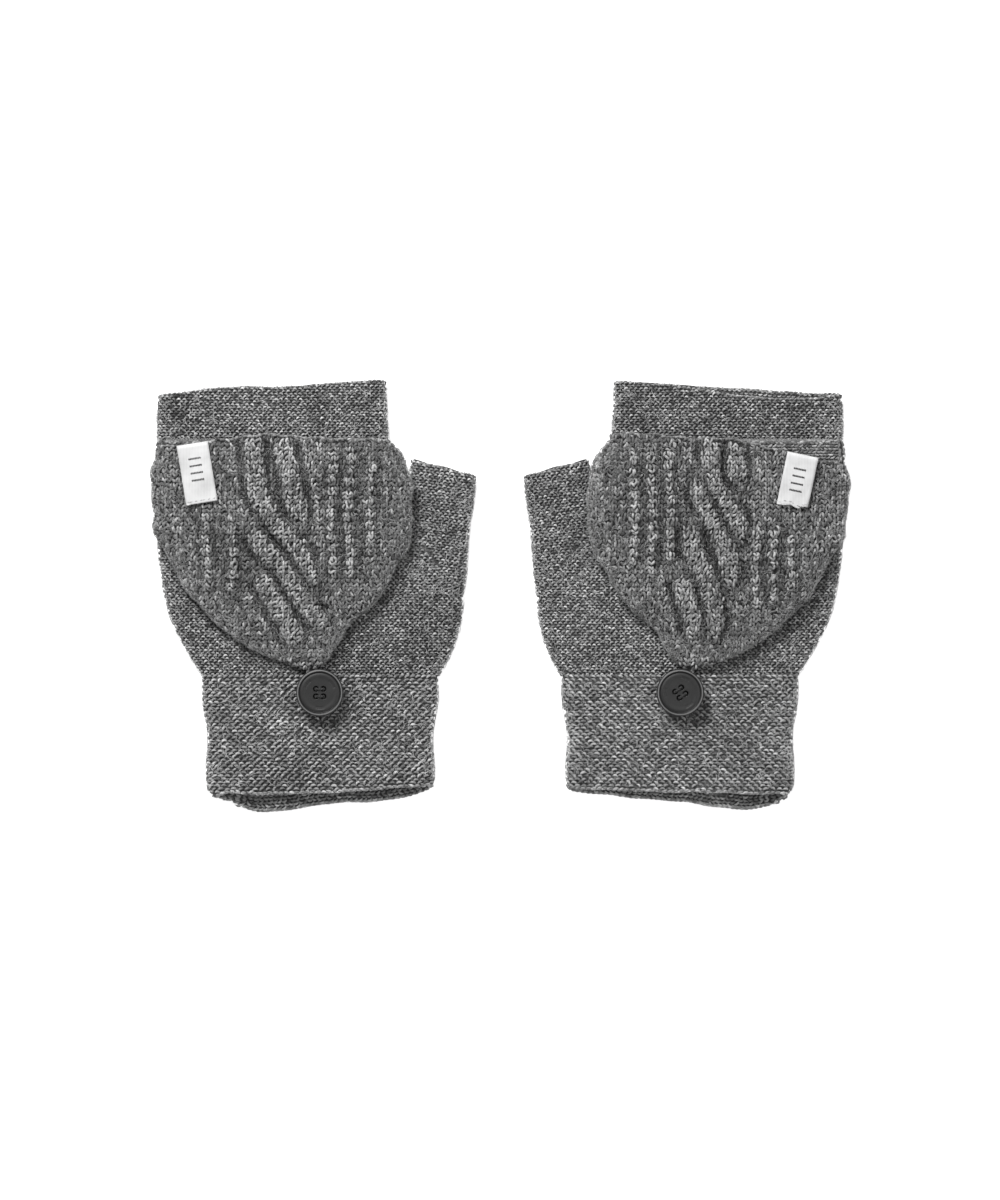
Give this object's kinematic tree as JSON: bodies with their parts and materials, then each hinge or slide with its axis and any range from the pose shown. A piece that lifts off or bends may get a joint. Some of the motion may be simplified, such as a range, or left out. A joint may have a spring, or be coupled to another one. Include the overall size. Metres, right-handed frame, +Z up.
{
  "type": "convertible flip-top mittens",
  "caption": "Pair of knitted fingerless mittens, each with a button-down flip-over fingertip cap.",
  "frame": {"origin": "under the middle of the pair, on the surface that the mittens lie on", "axes": "+X across the pair towards the right mitten, +Y towards the fingers, +Z up through the backs of the hands"},
  "size_m": [0.2784, 0.17, 0.0168],
  "materials": {
    "purl_wool": "fine purl knit, grey melange wool",
    "cuff_wool": "coarse purl knit, grey melange wool",
    "cap_wool": "cable and rib knit, brushed grey melange wool",
    "button_plastic": "matte dark face, polished rolled rim",
    "black_thread": "twisted sewing thread",
    "label_ribbon": "woven satin ribbon",
    "label_thread": "fine sewing thread"
  },
  "bodies": {
    "left_hand": {"left_hand_tube": "purl_wool", "left_thumb_stall": "purl_wool", "left_thumb_seam": "purl_wool", "left_wrist_cuff": "cuff_wool", "left_cuff_seam": "cuff_wool", "left_knuckle_seam": "cap_wool"},
    "left_cap": {"left_cap_lower": "cap_wool", "left_yarn_loop": "cap_wool"},
    "left_cap_front": {"left_cap_upper": "cap_wool", "left_cap_hem": "cap_wool", "left_label": "label_ribbon", "left_label_stitches": "label_thread"},
    "left_shank": {"left_thread_shank": "black_thread"},
    "left_fastener": {"left_button": "button_plastic", "left_button_thread": "black_thread"},
    "right_hand": {"right_hand_tube": "purl_wool", "right_thumb_stall": "purl_wool", "right_thumb_seam": "purl_wool", "right_wrist_cuff": "cuff_wool", "right_cuff_seam": "cuff_wool", "right_knuckle_seam": "cap_wool"},
    "right_cap": {"right_cap_lower": "cap_wool", "right_yarn_loop": "cap_wool"},
    "right_cap_front": {"right_cap_upper": "cap_wool", "right_cap_hem": "cap_wool", "right_label": "label_ribbon", "right_label_stitches": "label_thread"},
    "right_shank": {"right_thread_shank": "black_thread"},
    "right_fastener": {"right_button": "button_plastic", "right_button_thread": "black_thread"}
  },
  "joints": [
    {"name": "left_cap_flip", "type": "hinge", "parent": "left_hand", "child": "left_cap", "pos_m": [-0.072, 0.0612, 0.0084], "axis": [-1, 0, 0], "range_deg": [0, 180], "deforming": ["left_cap_upper", "left_cap_hem", "left_label", "left_label_stitches", "left_yarn_loop"]},
    {"name": "left_pocket_open", "type": "slide", "parent": "left_cap", "child": "left_cap_front", "axis": [0, 0, 1], "range_m": [0, 0.0035]},
    {"name": "left_button_tilt", "type": "hinge", "parent": "left_hand", "child": "left_shank", "pos_m": [-0.072, -0.0394, 0.0087], "axis": [1, 0, 0], "range_deg": [-6, 6]},
    {"name": "left_button_turn", "type": "hinge", "parent": "left_shank", "child": "left_fastener", "pos_m": [-0.072, -0.0394, 0.01203], "axis": [0, 0, 1], "range_deg": [-40, 40]},
    {"name": "pair_spacing", "type": "slide", "parent": "left_hand", "child": "right_hand", "axis": [1, 0, 0], "range_m": [0, 0.15]},
    {"name": "right_cap_flip", "type": "hinge", "parent": "right_hand", "child": "right_cap", "pos_m": [0.072, 0.0612, 0.0084], "axis": [-1, 0, 0], "range_deg": [0, 180], "deforming": ["right_cap_upper", "right_cap_hem", "right_label", "right_label_stitches", "right_yarn_loop"]},
    {"name": "right_pocket_open", "type": "slide", "parent": "right_cap", "child": "right_cap_front", "axis": [0, 0, 1], "range_m": [0, 0.0035]},
    {"name": "right_button_tilt", "type": "hinge", "parent": "right_hand", "child": "right_shank", "pos_m": [0.072, -0.0394, 0.0087], "axis": [1, 0, 0], "range_deg": [-6, 6]},
    {"name": "right_button_turn", "type": "hinge", "parent": "right_shank", "child": "right_fastener", "pos_m": [0.072, -0.0394, 0.01203], "axis": [0, 0, 1], "range_deg": [-40, 40]}
  ],
  "couplings": [
    {"joint": "left_pocket_open", "follows": "left_cap_flip", "m_per_rad": 0.001113},
    {"joint": "right_pocket_open", "follows": "right_cap_flip", "m_per_rad": 0.001113}
  ]
}
